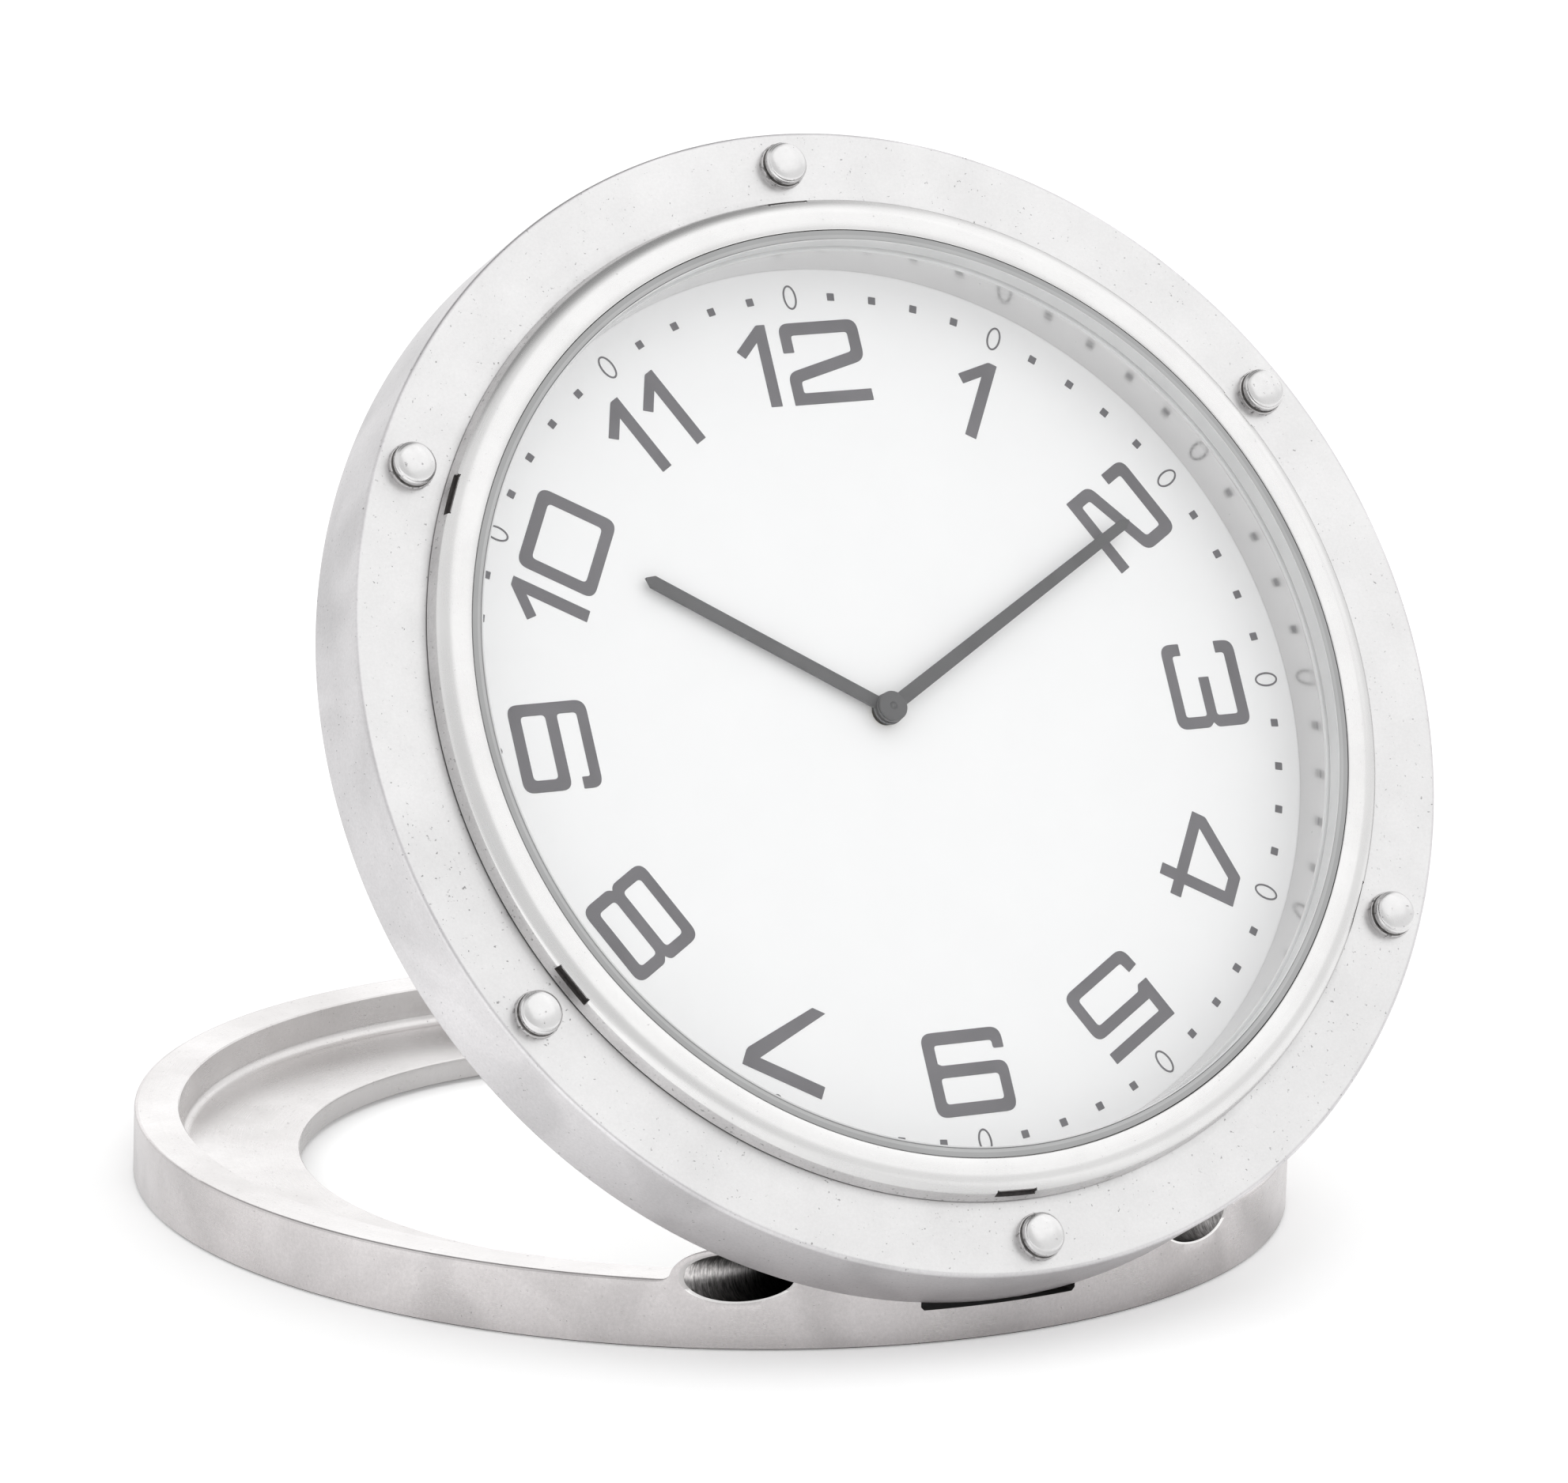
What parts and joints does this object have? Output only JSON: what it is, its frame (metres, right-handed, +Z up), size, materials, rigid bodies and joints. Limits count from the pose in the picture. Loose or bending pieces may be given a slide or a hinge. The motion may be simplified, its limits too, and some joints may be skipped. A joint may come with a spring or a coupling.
{
  "type": "folding desk clock",
  "caption": "Round steel analogue desk clock with studs on its flange, leaning back on a flat ring base that it folds down onto.",
  "frame": {"origin": "on the table, under the middle of the hinge axis, on the base ring's foot", "axes": "+X towards 3 o'clock along the hinge axis, +Y from the dial's side to the back of the base ring, +Z up"},
  "size_m": [0.085, 0.0912, 0.079],
  "materials": {
    "case_steel": "fine satin, lightly pitted",
    "base_steel": "fine satin",
    "bezel_steel": "polished",
    "stud_steel": "polished with fine wear",
    "rehaut_steel": "polished",
    "hinge_steel": "turned",
    "screw_steel": "turned",
    "crystal_glass": "clear, polished",
    "gasket_grey": "matt",
    "dial_white": "matt white",
    "hand_grey": "matt dark grey",
    "brass": "turned",
    "movement_plastic": "moulded",
    "black_plastic": "moulded",
    "black_rubber": "matt",
    "coil_copper": "enamelled copper wire",
    "board_green": "lacquered",
    "cell_steel": "nickel plated"
  },
  "bodies": {
    "base": {"base_ring": "base_steel", "hinge_pin_left": "hinge_steel", "hinge_pin_right": "hinge_steel", "hinge_washer_left": "hinge_steel", "hinge_washer_right": "hinge_steel"},
    "clock": {"case_ring": "case_steel", "hinge_knuckle": "case_steel", "knuckle_screw_left": "screw_steel", "knuckle_screw_right": "screw_steel", "hinge_bush_left": "brass", "hinge_bush_right": "brass", "bezel": "bezel_steel", "crystal": "crystal_glass", "crystal_gasket": "gasket_grey", "rehaut_ring": "rehaut_steel", "dial": "dial_white", "stud_12": "stud_steel", "stud_2": "stud_steel", "stud_4": "stud_steel", "stud_6": "stud_steel", "stud_8": "stud_steel", "stud_10": "stud_steel", "movement_holder": "movement_plastic", "main_plate": "black_plastic", "train_bridge": "black_plastic", "bridge_screw_1": "screw_steel", "bridge_screw_2": "screw_steel", "bridge_screw_3": "screw_steel", "coil": "coil_copper", "coil_core": "screw_steel", "stator": "screw_steel", "circuit_board": "board_green", "quartz_crystal": "cell_steel", "clock_chip": "black_plastic", "battery": "cell_steel", "battery_contact": "brass", "battery_clip": "brass", "back_cover": "case_steel", "back_gasket": "black_rubber", "back_cover_screw_1": "screw_steel", "back_cover_screw_2": "screw_steel", "back_cover_screw_3": "screw_steel", "back_cover_screw_4": "screw_steel", "battery_hatch": "case_steel"},
    "minute_group": {"minute_arbor": "screw_steel", "minute_hand": "hand_grey", "hand_cap": "hand_grey", "setting_knob": "black_plastic"},
    "hour_group": {"hour_wheel": "brass", "hour_hand": "hand_grey"},
    "minute_wheel_body": {"minute_wheel": "brass"},
    "centre_wheel_body": {"centre_wheel": "brass"},
    "intermediate_wheel_body": {"intermediate_wheel": "brass"},
    "rotor_body": {"rotor": "screw_steel"}
  },
  "joints": [
    {"name": "base_hinge", "type": "hinge", "parent": "base", "child": "clock", "pos_m": [0, 0, 0.00525], "axis": [1, 0, 0], "range_deg": [-58.9, 0]},
    {"name": "minute_turn", "type": "hinge", "parent": "clock", "child": "minute_group", "pos_m": [0, 0.01462, 0.04075], "axis": [0, 0.8564, -0.5162], "continuous": true},
    {"name": "hour_turn", "type": "hinge", "parent": "clock", "child": "hour_group", "pos_m": [0, 0.01462, 0.04075], "axis": [0, 0.8564, -0.5162], "continuous": true},
    {"name": "minute_wheel_turn", "type": "hinge", "parent": "clock", "child": "minute_wheel_body", "pos_m": [-0.0052, 0.01616, 0.04332], "axis": [0, 0.8564, -0.5162], "continuous": true},
    {"name": "intermediate_turn", "type": "hinge", "parent": "clock", "child": "intermediate_wheel_body", "pos_m": [0.00585, 0.01287, 0.03786], "axis": [0, 0.8564, -0.5162], "continuous": true},
    {"name": "centre_wheel_turn", "type": "hinge", "parent": "clock", "child": "centre_wheel_body", "pos_m": [0, 0.01462, 0.04075], "axis": [0, 0.8564, -0.5162], "continuous": true},
    {"name": "rotor_turn", "type": "hinge", "parent": "clock", "child": "rotor_body", "pos_m": [0.00585, 0.01024, 0.03349], "axis": [0, 0.8564, -0.5162], "continuous": true}
  ],
  "couplings": [
    {"joint": "hour_turn", "follows": "minute_turn", "ratio": 0.083333},
    {"joint": "minute_wheel_turn", "follows": "minute_turn", "ratio": -0.33333},
    {"joint": "centre_wheel_turn", "follows": "intermediate_turn", "ratio": -0.125},
    {"joint": "rotor_turn", "follows": "intermediate_turn", "ratio": -7.5}
  ]
}
